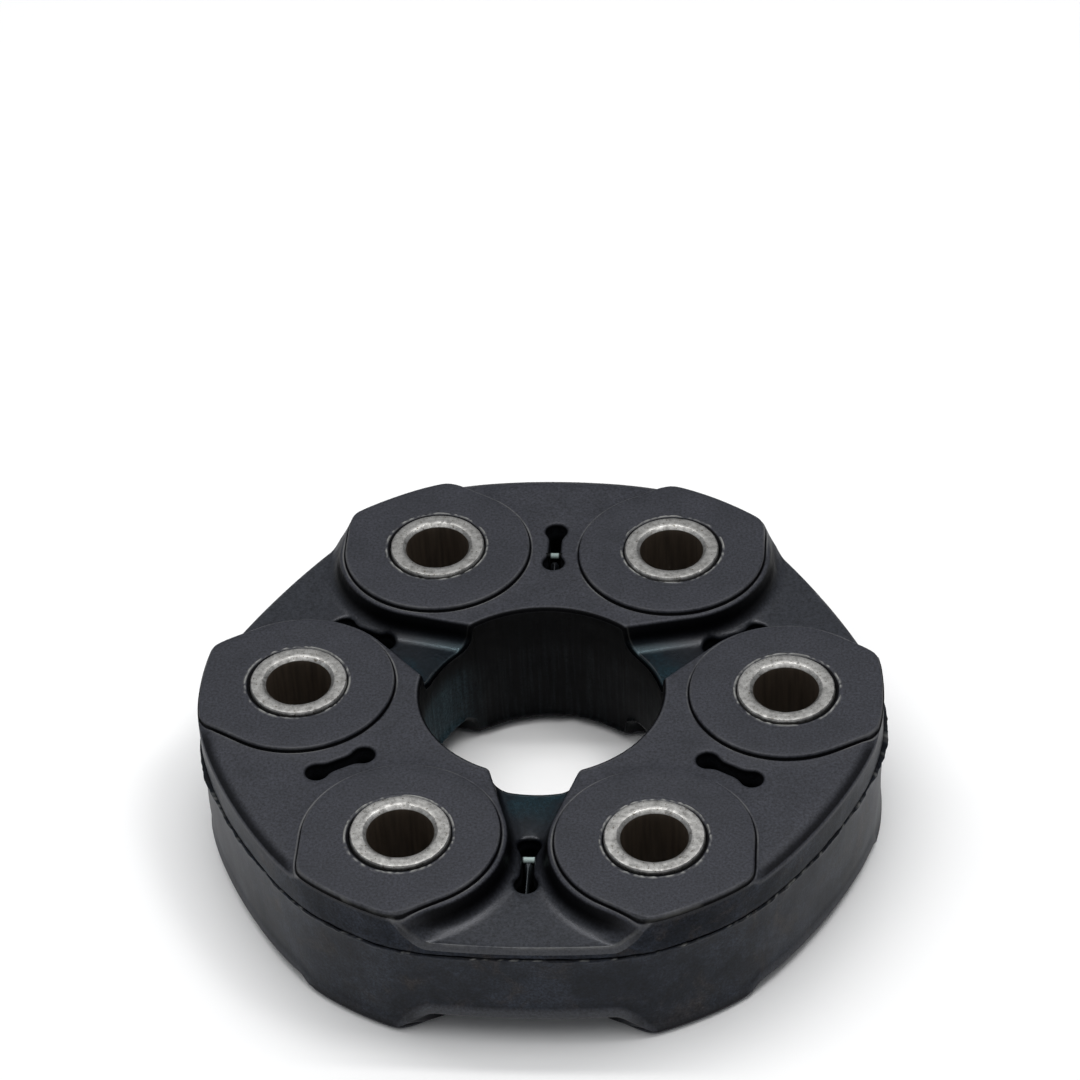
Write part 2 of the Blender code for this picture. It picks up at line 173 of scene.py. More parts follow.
def interpolated(distance, profile):
    """An edge profile's height or tone at a distance, level before its first point and after its last."""
    return np.interp(distance, [d for d, z in profile], [z for d, z in profile])


def smooth_min(a, b, blend):
    """The lesser of two distances, with the corner between them rounded."""
    share = np.clip(0.5 + 0.5 * (b - a) / blend, 0.0, 1.0)
    return b * (1 - share) + a * share - blend * share * (1 - share)


def smooth_step(x, low, high):
    t = np.clip((x - low) / (high - low), 0.0, 1.0)
    return t * t * (3 - 2 * t)


def folded(x, y):
    """Points as seen from the middle of their web: how far across it, how far out, and if it is high."""
    web = np.floor(np.arctan2(y, x) / PITCH).astype(int) % SLEEVES
    middle = PITCH * (web + 0.5)
    across = np.abs(x * np.sin(middle) - y * np.cos(middle))
    outwards = x * np.cos(middle) + y * np.sin(middle)
    return across, outwards, web % 2 == 1


def beyond_round(across, outwards, r, facing):
    """Distance outside an outline of radius r round a sleeve, with straight flanks that face one way."""
    a = across - SLEEVE_ACROSS
    b = outwards - SLEEVE_OUT
    flank = a * cos(facing) + b * sin(facing)
    on_flank = a * sin(facing) - b * cos(facing) > 0
    return np.where(on_flank, flank, np.hypot(a, b)) - r


def beyond_ledge(across, outwards, r):
    """The same for the ledge beside a low web, which runs on straight to the centre bore."""
    a = across - SLEEVE_ACROSS
    b = outwards - SLEEVE_OUT
    throat = a * cos(THROAT_FACING) + b * sin(THROAT_FACING)
    on_throat = b * cos(THROAT_FACING) - a * sin(THROAT_FACING) > 0
    return np.where(on_throat, throat - r, beyond_round(across, outwards, r, LEDGE_FACING))


def inside_side(x, y):
    """How far points lie inside the outer wall."""
    across, outwards, high = folded(x - MOULD_SHIFT[0], y - MOULD_SHIFT[1])
    rise = np.where(high, HIGH_WEB_BULGE, LOW_WEB_BULGE)
    r = (HALF_CHORD**2 + rise**2) / (2 * rise)
    flat = r - np.hypot(across, outwards - (CHORD + rise - r))
    return smooth_min(flat, RUBBER_R - np.hypot(across, outwards), SIDE_CORNER_BLEND)


def beyond_pad_edge(x, y):
    """Distance outside a pad's whole edge: round the sleeve, along both flanks and beside the wall."""
    across, outwards, _ = folded(x, y)
    webs = beyond_round(across, outwards, PAD_R, PAD_FACING)
    side = PAD_OUTER_INSET - inside_side(x, y)
    return -smooth_min(-webs, -side, PAD_CORNER_BLEND)


def beyond_slot(across, outwards):
    """Distance outside a web's slot: two round ends joined by a waist."""
    along = np.abs(outwards - SLOT_R)
    end = np.hypot(across, along - SLOT_END) - SLOT_END_R
    blend = SLOT_BLEND_R - np.hypot(across - SLOT_BLEND_ACROSS, along - SLOT_BLEND_OUT)
    waist = across - SLOT_WAIST / 2
    to_end = np.array([SLOT_END - SLOT_BLEND_OUT, -SLOT_BLEND_ACROSS])
    turn = (along - SLOT_BLEND_OUT) * to_end[1] - (across - SLOT_BLEND_ACROSS) * to_end[0]
    return np.where(along < SLOT_BLEND_OUT, waist, np.where(turn < 0, end, blend))


def recess_profile():
    """Edge profile of a recess: distance from the start of its shoulder, and depth."""
    steep = RECESS_STEEPNESS
    wall = (LOW_WEB_DROP - (SHOULDER_R + RECESS_FILLET) * (1 - cos(steep))) / sin(steep)
    points = []
    for i in range(7):
        turn = steep * i / 6
        points.append((SHOULDER_R * sin(turn), -SHOULDER_R * (1 - cos(turn))))
    out = points[-1][0] + (wall * cos(steep) + RECESS_FILLET * sin(steep))
    for i in range(11):
        turn = steep * (1 - i / 10)
        height = -LOW_WEB_DROP + RECESS_FILLET * (1 - cos(turn))
        points.append((out - RECESS_FILLET * sin(turn), height))
    return tuple(points)


RECESS_EDGE = recess_profile()
RECESS_START = RECESS_FOOT - RECESS_EDGE[-1][0]


def to_sleeve(x, y):
    """Distance from the nearest sleeve's axis."""
    near = np.round(np.arctan2(y, x) / PITCH) * PITCH
    return np.hypot(x - BOLT_CIRCLE_R * np.cos(near), y - BOLT_CIRCLE_R * np.sin(near))


def face_height(x, y):
    """Height of the upper face over points of the plan."""
    across, outwards, high = folded(x, y)
    inset = inside_side(x, y)
    down = beyond_ledge(across, outwards, RECESS_START)
    at_wall = 1 - smooth_step(inset, 0.0, SADDLE_REACH)
    saddle = -LOW_WEB_DROP * smooth_step(down, SADDLE_START, RECESS_EDGE[-1][0] - 0.3)
    recess = (1 - at_wall) * interpolated(down, RECESS_EDGE) + at_wall * saddle
    recess = np.where(high, 0.0, recess)
    low = np.clip(-recess / LOW_WEB_DROP * 1.5, 0.0, 1.0)
    beside_pad = smooth_step(beyond_round(across, outwards, PAD_R, PAD_FACING), -0.6, 1.4)
    z = PAD_TOP + interpolated(beyond_pad_edge(x, y), PAD_EDGE) + recess
    z += beside_pad * ((1 - low) * interpolated(inset, HIGH_SIDE) + low * interpolated(inset, LOW_SIDE))
    z += interpolated(to_sleeve(x, y) - SLEEVE_HOLE_R, SLEEVE_LIP)
    z += interpolated(np.hypot(x, y) - CENTRE_BORE_R, BORE_EDGE)
    return z + interpolated(beyond_slot(across, outwards), SLOT_EDGE)


def lip_distance(x, y):
    """How far points lie outside the torn lip of the nearest sleeve, which is wider on the outer side."""
    near = np.round(np.arctan2(y, x) / PITCH) * PITCH
    angle = np.arctan2(y - BOLT_CIRCLE_R * np.sin(near), x - BOLT_CIRCLE_R * np.cos(near))
    middle = LIP_MIDDLE + LIP_SHIFT * np.cos(angle - near) + 0.1 * wobble(x, y, 2.0, 3.0)
    return to_sleeve(x, y) - SLEEVE_HOLE_R - middle


def shade_of(x, y):
    """How deep in a fold of the face points lie, as painted shade that keeps the rubber black there."""
    across, outwards, high = folded(x, y)
    inset = inside_side(x, y)
    down = beyond_ledge(across, outwards, RECESS_START)
    wall = smooth_step(down, 0.35, 0.75) * (1 - smooth_step(down, 1.0, 2.6)) * ~high
    wall *= 0.45 + 0.55 * smooth_step(inset, 0.0, SADDLE_REACH)
    groove = interpolated(beyond_pad_edge(x, y), GROOVE_SHADE)
    beside_pad = smooth_step(beyond_round(across, outwards, PAD_R, PAD_FACING), 0.0, 2.5)
    roll = interpolated(inset, ROLL_SHADE) * high * beside_pad
    gap = 1 - smooth_step(lip_distance(x, y), -0.34, -0.2)
    mouth = 1 - smooth_step(beyond_slot(across, outwards), 0.05, 0.4)
    bore = interpolated(np.hypot(x, y) - CENTRE_BORE_R, BORE_SHADE)
    return np.max([wall, groove, roll, gap, mouth, bore], axis=0)


class Plan:
    """The contour lines of a face: points, and the edges that join them."""

    def __init__(self):
        self.points = []
        self.edges = []

    def add_line(self, points, closed=False):
        first = len(self.points)
        self.points += [(float(x), float(y)) for x, y in points]
        last = len(self.points) - 1
        self.edges += [(i, i + 1) for i in range(first, last)]
        if closed:
            self.edges.append((last, first))


def all_round(count):
    return np.arange(count) * 2 * pi / count


def sleeve_centre(sleeve):
    return BOLT_CIRCLE_R * cos(PITCH * sleeve), BOLT_CIRCLE_R * sin(PITCH * sleeve)


def ring(r, spacing, centre=(0.0, 0.0)):
    angles = all_round(round(2 * pi * r / spacing))
    return np.column_stack([centre[0] + r * np.cos(angles), centre[1] + r * np.sin(angles)])


def side_line(inset, spacing):
    """The outer wall's outline, moved inwards by the inset."""
    count = round(2 * pi * RUBBER_R / spacing)
    angles = all_round(count)
    low = np.full(count, CENTRE_BORE_R)
    high = np.full(count, RUBBER_R + 1.0)
    for _ in range(40):
        middle = (low + high) / 2
        inside = inside_side(middle * np.cos(angles), middle * np.sin(angles)) > inset
        low = np.where(inside, middle, low)
        high = np.where(inside, high, middle)
    return np.column_stack([low * np.cos(angles), low * np.sin(angles)])


def straight(start, direction, length, spacing):
    """Points of a straight line after its start."""
    steps = max(1, round(length / spacing))
    return [np.asarray(start) + np.asarray(direction) * length * i / steps for i in range(1, steps + 1)]


def flank_length(r):
    """How far a ledge's flank of that radius runs before it is just outside the wall."""
    touch = np.array([SLEEVE_ACROSS, SLEEVE_OUT]) + r * np.array([cos(LEDGE_FACING), sin(LEDGE_FACING)])
    along = np.array([sin(LEDGE_FACING), -cos(LEDGE_FACING)])
    b = touch @ along
    return sqrt(b**2 - touch @ touch + (RUBBER_R + 1.0) ** 2) - b


def pad_line(sleeve, distance):
    """A line at a distance outside a pad's edge, but for the stretch that only follows the outer wall."""
    count = round(2 * pi * PAD_R / MEDIUM)
    angles = PITCH * sleeve + np.arange(count + 1) * 2 * pi / count
    centre_x, centre_y = sleeve_centre(sleeve)
    low = np.full(count + 1, SLEEVE_R)
    high = np.full(count + 1, 2 * PAD_R)
    for _ in range(30):
        middle = (low + high) / 2
        x, y = centre_x + middle * np.cos(angles), centre_y + middle * np.sin(angles)
        inside = beyond_pad_edge(x, y) < distance
        low = np.where(inside, middle, low)
        high = np.where(inside, high, middle)
    across, outwards, _ = folded(x, y)
    from_web = beyond_round(across, outwards, PAD_R, PAD_FACING)
    beside_web = from_web > PAD_OUTER_INSET - inside_side(x, y) - PAD_CORNER_BLEND
    return np.column_stack([x, y])[beside_web]


def ledge_line(r):
    """A line beside a low web from the wall to the bore, as (across, outwards) points."""
    centre = np.array([SLEEVE_ACROSS, SLEEVE_OUT])
    sweep = THROAT_FACING - LEDGE_FACING
    steps = round(r * sweep / MEDIUM)
    angles = [LEDGE_FACING + sweep * i / steps for i in range(steps + 1)]
    arc = [centre + r * np.array([cos(a), sin(a)]) for a in angles]
    outer = straight(arc[0], (sin(LEDGE_FACING), -cos(LEDGE_FACING)), flank_length(r), COARSE)
    throat = (-sin(THROAT_FACING), cos(THROAT_FACING))
    inner = straight(arc[-1], throat, BOLT_CIRCLE_R - CENTRE_BORE_R, MEDIUM)
    return np.array(outer[::-1] + arc + inner)


def slot_line(grow):
    """A slot's outline, grown outwards, as (across, outwards) points."""
    meet = atan2(SLOT_BLEND_ACROSS, -(SLOT_END - SLOT_BLEND_OUT))
    quarter = [
        (SLOT_END + (SLOT_END_R + grow) * cos(meet * i / 9), (SLOT_END_R + grow) * sin(meet * i / 9))
        for i in range(10)
    ]
    for i in range(1, 6):
        a = meet - pi + (pi / 2 - meet) * i / 5
        r = SLOT_BLEND_R - grow
        quarter.append((SLOT_BLEND_OUT + r * cos(a), SLOT_BLEND_ACROSS + r * sin(a)))
    quarter.append((0.0, SLOT_WAIST / 2 + grow))
    half = quarter + [(-x, y) for x, y in reversed(quarter[:-1])]
    whole = half + [(x, -y) for x, y in reversed(half[1:-1])]
    return np.array([(y, SLOT_R + x) for x, y in whole])


def in_web(points, web):
    """Points given across and outwards from a web's middle, put in their place."""
    middle = PITCH * (web + 0.5)
    out = np.array([cos(middle), sin(middle)])
    side = np.array([out[1], -out[0]])
    points = np.asarray(points)
    return points[:, :1] * side + points[:, 1:] * out


def plan_of_face():
    """Every contour line of a face, and a loose grid of points between them."""
    plan = Plan()
    for inset in SIDE_LINES:
        plan.add_line(side_line(inset, FINE), closed=True)
    for distance, _ in BORE_EDGE:
        plan.add_line(ring(CENTRE_BORE_R + distance, FINE), closed=True)
    for sleeve in range(SLEEVES):
        for distance, _ in SLEEVE_LIP:
            lip = ring(SLEEVE_HOLE_R + distance, LIP_SPACING, sleeve_centre(sleeve))
            plan.add_line(lip, closed=True)
        for distance, _ in PAD_EDGE:
            plan.add_line(pad_line(sleeve, distance))
    for web in range(SLEEVES):
        for distance, _ in SLOT_EDGE:
            plan.add_line(in_web(slot_line(distance), web), closed=True)
        if web % 2 == 0:
            for distance, _ in RECESS_EDGE:
                line = ledge_line(RECESS_START + distance)
                plan.add_line(in_web(line, web))
                plan.add_line(in_web(line * (-1, 1), web))
    add_grid(plan)
    return plan


def add_grid(plan):
    """Points between the lines, on a grid of triangles, none of them close to a line's point."""
    tree = kdtree.KDTree(len(plan.points))
    for i, (x, y) in enumerate(plan.points):
        tree.insert((x, y, 0.0), i)
    tree.balance()
    rows = int(RUBBER_R / (GRID * sqrt(3) / 2)) + 1
    for row in range(-rows, rows + 1):
        y = row * GRID * sqrt(3) / 2
        for column in range(-rows, rows + 1):
            x = (column + 0.5 * (row % 2)) * GRID
            if tree.find((x, y, 0.0))[2] > 0.75 * GRID:
                plan.points.append((x, y))


def in_rubber(x, y):
    """Whether points of the plan lie on the face, and not in a hole or outside."""
    across, outwards, _ = folded(x, y)
    tiny = 0.004
    inside = (inside_side(x, y) > -tiny) & (np.hypot(x, y) > CENTRE_BORE_R - tiny)
    return inside & (to_sleeve(x, y) > SLEEVE_HOLE_R - tiny) & (beyond_slot(across, outwards) > -tiny)


def filled_plan():
    """The face's points and triangles, seen from above."""
    plan = plan_of_face()
    found = geometry.delaunay_2d_cdt([Vector(p) for p in plan.points], plan.edges, [], 0, 1e-4, False)
    points = np.array([tuple(v) for v in found[0]])
    faces = np.array(found[2])
    centres = points[faces].mean(axis=1)
    faces = faces[in_rubber(centres[:, 0], centres[:, 1])]
    used, faces = np.unique(faces, return_inverse=True)
    return points[used], faces.reshape(-1, 3)


def boundary_loops(faces):
    """The open edges of a face as closed loops of point numbers."""
    follows = {}
    sides = {(int(a), int(b)) for f in faces for a, b in zip(f, np.roll(f, -1))}
    for a, b in sides:
        if (b, a) not in sides:
            follows[a] = b
    loops = []
    while follows:
        start, point = follows.popitem()
        loop = [start]
        while point != start:
            loop.append(point)
            point = follows.pop(point)
        loops.append(loop)
    return loops


def wobble(x, y, z, size, seed=0.0):
    """Smooth noise of about the given size in millimetres, between -1 and 1, at arrays of points."""
    points = np.column_stack([np.broadcast_to(v, np.shape(x)).ravel() for v in (x, y, z)]) / size + seed
    return np.array([noise.noise(p) for p in points.tolist()]).reshape(np.shape(x))


# Places with more or less flash: direction in degrees, reach to either side, and how much further out it
# stands. Some has torn out at the parting line, and some is missing from the bore's lower rim
TORN_FLASH = ((196, 8, 1.0), (358, 10, 1.3), (212, 3, 0.3))
BORE_GAPS = ((81, 4, -0.5), (131, 7, -0.6), (38, 7, -0.6))


def bursts(angle, places, sharpness=2):
    """More or less flash near a few places round the disc."""
    total = np.zeros_like(angle)
    for direction, reach, height in places:
        away = np.abs((angle - radians(direction) + pi) % (2 * pi) - pi)
        total += height * np.exp(-((away / radians(reach)) ** sharpness))
    return total


# Rows of the outer wall near the parting line: height over the line, how far in the groove runs there and
# so how much shade is painted in it, how far out the flash stands, and whether painted glints show on it
PARTING_ROWS = (
    (1.1, 0.0, 0.0, 0), (0.6, 0.05, 0.0, 0), (0.34, 0.16, 0.0, 0), (0.16, 0.55, 0.0, 0),
    (-0.02, 0.6, 0.0, 0), (-0.14, 0.1, 0.55, 1), (-0.3, 0.0, 0.6, 0), (-0.5, 0.0, 0.3, 0),
    (-0.95, 0.0, 0.06, 0),
)
UPPER_ROWS = 6
LOWER_ROWS = 9
LOWER_DRAFT = 0.35
SIDE_WAVE = 0.16


def side_wall(x, y, top):
    """Rows of the outer wall between its upper and lower edges: inset, height and tones at each column."""
    angle = np.arctan2(y, x)
    cut = 0.55 + 0.5 * wobble(x, y, 0.0, 5.0) + 0.25 * wobble(x, y, 3.0, 1.1)
    ragged = 0.4 + 0.7 * wobble(x, y, 7.0, 2.6) + 0.5 * wobble(x, y, 9.0, 0.9)
    cut = np.clip(cut, 0.25, 1.2)
    # Painted glints on the flash, where it catches the light
    flecks = np.clip(2.5 * wobble(x, y, 11.0, 0.8) + 1.5 * wobble(x, y, 12.0, 9.0) - 0.5, 0.0, 1.0)
    ragged = 0.5 * np.clip(ragged, 0.05, 1.3) + bursts(angle, TORN_FLASH)
    line = PARTING_Z + 0.22 * wobble(x, y, 5.0, 16.0) + 0.1 * wobble(x, y, 5.0, 1.6)
    bottom = SLEEVE_LENGTH - top
    rows = []
    for i in range(1, UPPER_ROWS + 1):
        share = i / (UPPER_ROWS + 1)
        rows.append((0.0, top + (line + PARTING_ROWS[0][0] - top) * share, 0.0, 0.0))
    for above, groove, flash, glinting in PARTING_ROWS:
        inset = groove * cut - flash * ragged
        rows.append((inset, line + above, min(1.0, groove * 2), flecks * glinting))
    low_start = line + PARTING_ROWS[-1][0]
    for i in range(1, LOWER_ROWS + 1):
        share = i / (LOWER_ROWS + 1)
        rows.append((LOWER_DRAFT * share, low_start + (bottom - low_start) * share, 0.0, 0.0))
    shaped = []
    for inset, z, shade, glint in rows:
        wave = SIDE_WAVE * (wobble(x, y, z, 11.0) + 0.5 * wobble(x, y, z, 4.0))
        fade = np.clip(np.minimum(top - z, z - bottom) / 2.0, 0.0, 1.0)
        tones = {"upper": smooth_step(z - line, -0.1, 0.3), "shade": shade, "lip": 0.6 * glint}
        shaped.append((inset + wave * fade, z, tones))
    return shaped


# Rows of the bore's plain stretch, from just under its upper rim to where the flash starts
BORE_ROWS = 12
BORE_FIRST_ROW = 0.15
BORE_LAST_ROW = 2.4
HOLE_ROWS = 8
# Flash round the bore's lower rim: height above the rim, and share of its reach
BORE_FLASH = ((1.6, 0.05), (0.8, 0.2), (0.42, 0.6), (0.26, 1.0), (0.12, 0.9))


def bore_wall(x, y, top):
    """Rows of the centre bore, with thin torn flash round its lower rim."""
    angle = np.arctan2(y, x)
    reach = 0.6 + 0.15 * wobble(x, y, 0.0, 4.5, 3.0) + 0.15 * wobble(x, y, 0.0, 1.0, 8.0)
    reach = np.clip(reach + bursts(angle, BORE_GAPS, 8), 0.02, 1.2)
    bottom = SLEEVE_LENGTH - top
    rows = [(0.0, top - BORE_FIRST_ROW)]
    rows += [(0.0, top + (bottom + BORE_LAST_ROW - top) * i / BORE_ROWS) for i in range(1, BORE_ROWS + 1)]
    rows += [(reach * share, bottom + above) for above, share in BORE_FLASH]
    shaped = []
    for inset, z in rows:
        streaks = 0.05 * wobble(x, y, z / 14, 0.9) + 0.08 * wobble(x, y, z, 7.0)
        shaped.append((inset - streaks, z, {}))
    return shaped


def plain_wall(top):
    """Rows of a straight hole."""
    bottom = SLEEVE_LENGTH - top
    return [(0.0, top + (bottom - top) * i / HOLE_ROWS, {}) for i in range(1, HOLE_ROWS)]


# What the material reads at each point, from 0 to 1: on the outer wall, on its part over the parting line,
# in a hole and in a fold (both painted shade), down on a low web, on torn lips and painted highlights of
# edges and flash, and on the painted highlight of the ties and fins
TONES = ("side", "upper", "hollow", "shade", "floor", "lip", "tie")


class Shell:
    """The points, faces and tones of the moulding as they are gathered."""

    def __init__(self):
        self.points = []
        self.faces = []
        self.tones = {name: [] for name in TONES}
        self.count = 0

    def add_points(self, points, **tones):
        """Adds points and gives the number of the first. A tone that isn't named is nought."""
        first = self.count
        self.points.append(points)
        self.count += len(points)
        for name in TONES:
            self.tones[name].append(np.broadcast_to(tones.get(name, 0.0), len(points)))
        return first

    def add_wall(self, loops):
        """Quads between neighbouring loops of point numbers."""
        for upper, lower in zip(loops, loops[1:]):
            quads = np.column_stack([np.roll(upper, -1), upper, lower, np.roll(lower, -1)])
            self.faces += quads.tolist()

    def add_bar(self, loops):
        """A wall between loops that is closed at both ends."""
        self.add_wall(loops)
        self.faces += [loops[0].tolist(), loops[-1][::-1].tolist()]


def rubber_shell():
    """The whole moulding: both faces, the outer wall, the bore and the holes, and the ties."""
    shell = Shell()
    plan, triangles = filled_plan()
    x, y = plan.T
    _, _, high = folded(x, y)
    z = face_height(x, y) + 0.02 * wobble(x, y, 0.0, 7.0) + 0.008 * wobble(x, y, 0.0, 2.0)
    torn = 0.45 + 1.3 * wobble(x, y, 4.0, 4.0) + 2.2 * wobble(x, y, 5.0, 0.8)
    lip = np.clip(1.25 - np.abs(lip_distance(x, y)) / 0.2, 0.0, 1.0) * np.clip(torn, 0.0, 1.0)
    z += LIP_HEIGHT * lip
    # Painted highlights along the pads' edges, the low webs' rims and the bore's rim, broken up in patches
    highlight_patches = np.clip(0.6 + 1.2 * wobble(x, y, 6.0, 9.0) + 0.6 * wobble(x, y, 6.0, 1.5), 0.0, 1.2)
    edge_highlight = interpolated(beyond_pad_edge(x, y), PAD_HIGHLIGHT) * highlight_patches
    edge_highlight = np.maximum(edge_highlight, interpolated(inside_side(x, y), RIM_HIGHLIGHT) * ~high * highlight_patches)
    edge_highlight = np.maximum(edge_highlight, interpolated(np.hypot(x, y) - CENTRE_BORE_R, BORE_HIGHLIGHT) * highlight_patches)
    tones = {
        "floor": np.clip((HIGH_TOP - z - 0.6) / (LOW_WEB_DROP - 0.6), 0.0, 1.0) * ~high,
        "lip": np.maximum(lip, edge_highlight),
        "shade": shade_of(x, y) * (1 - lip),
    }
    top = shell.add_points(np.column_stack([x, y, z]), **tones)
    # The lower face gets the torn lips but no painted highlights
    without_highlights = {**tones, "lip": lip}
    bottom = shell.add_points(np.column_stack([x, y, SLEEVE_LENGTH - z]), **without_highlights)
    shell.faces += triangles.tolist()
    shell.faces += (triangles[:, ::-1] + bottom).tolist()
    for loop in boundary_loops(triangles):
        loop = np.array(loop)
        lx, ly, lz = x[loop], y[loop], z[loop]
        # A loop's distance from the axis tells the outer wall and the bore from the other holes
        r = np.hypot(lx, ly)
        outer = r.min() > RUBBER_R - 6
        bore = r.max() < CENTRE_BORE_R + 1
        rows = side_wall(lx, ly, lz) if outer else bore_wall(lx, ly, lz) if bore else plain_wall(lz)
        numbers = [loop + top]
        for inset, height, more in rows:
            scale = 1 - inset / r
            points = np.column_stack([lx * scale, ly * scale, height])
            first = shell.add_points(points, side=float(outer), hollow=float(not outer), **more)
            numbers.append(np.arange(first, shell.count))
        numbers.append(loop + bottom)
        shell.add_wall(numbers)
    for web, depth, pale, fin in TIES:
        add_tie(shell, web, depth, pale)
        add_fin(shell, web, fin)
    return shell


# Ties across two slots: the web, how deep the tie's axis lies under the slot's mouth, the middle and half
# width of its painted highlight and how bright that is, and its fin of flash: where the fin starts and ends
# along the slot from its middle, its depth at both ends and how bright its painted highlight is
TIES = (
    (1, 0.75, (0.1, 0.72, 0.66), (-2.3, -4.4, 2.1, 3.6, 0.02)),
    (4, 0.75, (-0.1, 0.98, 1.0), (-1.5, 6.72, 1.0, 1.5, 0.06)),
)
TIE_R = 0.57
# How far the ties lie inwards of the slots' middles, and how far they run on into the walls
TIE_INWARDS = 2.0
TIE_ROOT = 0.5
TIE_ROWS = 24
TIE_SIDES = 20
FIN_HALF = 0.14
FIN_SHOULDER = 0.6
FIN_HEIGHT = 5.0
FIN_ROWS = 14


def mouth_of(web):
    return HIGH_TOP if web % 2 == 1 else LOW_TOP


def add_tie(shell, web, depth, pale):
    """A round bar across the slot's waist, thicker where it joins the walls."""
    half = SLOT_WAIST / 2 + TIE_ROOT
    middle, reach, brightness = pale
    angles = all_round(TIE_SIDES)
    loops = []
    for i in range(TIE_ROWS + 1):
        across = half * (2 * i / TIE_ROWS - 1)
        r = TIE_R * (0.94 + 0.3 * abs(across / half) ** 4)
        out = SLOT_R - TIE_INWARDS + r * np.cos(angles)
        z = mouth_of(web) - depth + r * np.sin(angles)
        points = in_web(np.column_stack([np.full(TIE_SIDES, across), out]), web)
        # A painted highlight across the middle of the bar, and painted shade on the rest of it
        glow = brightness * (1 - smooth_step(abs(across - middle), reach - 0.1, reach + 0.12))
        first = shell.add_points(np.column_stack([points, z]), tie=glow, hollow=1 - glow)
        loops.append(np.arange(first, shell.count))
    shell.add_bar(loops)


def add_fin(shell, web, fin):
    """A thin upright fin of flash along the slot, thick where it leaves the tie and where it ends."""
    start, end, start_depth, end_depth, pale = fin
    loops = []
    for i in range(FIN_ROWS + 1):
        share = i / FIN_ROWS
        half = FIN_HALF + 0.6 * max(0.0, 1 - share * 4) ** 2 + 0.3 * max(0.0, 7 * share - 6) ** 2
        top = mouth_of(web) - start_depth - (end_depth - start_depth) * share
        shoulder, foot = top - FIN_SHOULDER, top - FIN_HEIGHT
        section = ((-0.5 * half, top), (0.5 * half, top), (half, shoulder), (half, foot), (-half, foot),
                   (-half, shoulder))
        out = SLOT_R + start + (end - start) * share
        points = in_web([(across, out) for across, _ in section], web)
        # The fin's tie tone is its painted highlight
        first = shell.add_points(np.column_stack([points, [z for _, z in section]]), side=0.6, tie=pale)
        loops.append(np.arange(first, shell.count))
    if end < start:
        loops = [loop[::-1] for loop in loops]
    shell.add_bar(loops)


def put_in_scene(name, data):
    made = bpy.data.objects.new(name, data)
    bpy.context.scene.collection.objects.link(made)
    return made


def keep_values(made, name, values):
    """Keeps a value for each point of a mesh, for its material to read."""
    attribute = made.data.attributes.new(name, "FLOAT", "POINT")
    attribute.data.foreach_set("value", values.astype(np.float32))


def new_object(name, points, faces, sharp=radians(50)):
    """A smooth-shaded object from points in millimetres."""
    mesh = bpy.data.meshes.new(name)
    mesh.from_pydata((np.asarray(points) * MM).tolist(), [], [list(map(int, f)) for f in faces])
    mesh.update()
    mesh.shade_smooth()
    mesh.set_sharp_from_angle(angle=sharp)
    return put_in_scene(name, mesh)


def rubber_body():
    shell = rubber_shell()
    made = new_object("moulded_rubber_body", np.concatenate(shell.points), shell.faces)
    for name, values in shell.tones.items():
        keep_values(made, name, np.concatenate(values))
    return made


def turned_sleeve(name, sleeve):
    """A steel sleeve: chamfered bore, flat ends, and rims with small nicks."""
    steps = SLEEVE_SIDES
    centre = sleeve_centre(sleeve)
    mouth_r = SLEEVE_BORE_R + BORE_CHAMFER
    half = [
        (SLEEVE_BORE_R, 15.0), (SLEEVE_BORE_R, 1.4), (SLEEVE_BORE_R, BORE_CHAMFER + 0.12),
        (SLEEVE_BORE_R + 0.03, BORE_CHAMFER), (mouth_r - 0.05, 0.05), (mouth_r + 0.06, 0.0), (7.4, 0.0),
        (8.1, 0.0), (SLEEVE_R - EDGE_BREAK - 0.1, 0.0),
        (SLEEVE_R - EDGE_BREAK, 0.02), (SLEEVE_R - 0.04, EDGE_BREAK), (SLEEVE_R, EDGE_BREAK + 0.1),
        (SLEEVE_R, 3.0),
    ]
    profile = half + [(r, SLEEVE_LENGTH - z) for r, z in reversed(half[1:])]
    angles = all_round(steps)
    points = []
    for r, z in profile:
        rim = sum(exp(-(((r - edge) / 0.2) ** 2)) for edge in (SLEEVE_R - 0.12, mouth_r))
        end = 1.0 if min(z, SLEEVE_LENGTH - z) < 0.8 else 0.0
        x, y = r * np.cos(angles), r * np.sin(angles)
        nicks = np.clip(wobble(x, y, sleeve * 9.0 + z, 1.2) - 0.15, 0, 1) * 0.22 * rim * end
        scale = 1 - nicks / r if r > (SLEEVE_BORE_R + SLEEVE_R) / 2 else 1 + nicks / r
        points.append(np.column_stack([centre[0] + x * scale, centre[1] + y * scale, np.full(steps, z)]))
    rows = len(profile)
    faces = []
    for i in range(rows):
        j = (i + 1) % rows
        for a in range(steps):
            b = (a + 1) % steps
            faces.append((i * steps + a, j * steps + a, j * steps + b, i * steps + b))
    made = new_object(name, np.concatenate(points), faces, radians(28))
    radii = np.repeat([r for r, z in profile], steps)
    ends = np.repeat([min(z, SLEEVE_LENGTH - z) for r, z in profile], steps)
    keep_values(made, "inner", (radii < SLEEVE_BORE_R + 0.01) & (ends > 0.65))
    bm = bmesh.new()
    bm.from_mesh(made.data)
    bmesh.ops.recalc_face_normals(bm, faces=bm.faces)
    bm.to_mesh(made.data)
    bm.free()
    return made


def linear(hex_colour):
    """An sRGB hex colour as linear RGBA."""
    parts = [int(hex_colour[i:i + 2], 16) / 255 for i in (1, 3, 5)]
    return tuple(c / 12.92 if c <= 0.04045 else ((c + 0.055) / 1.055) ** 2.4 for c in parts) + (1.0,)


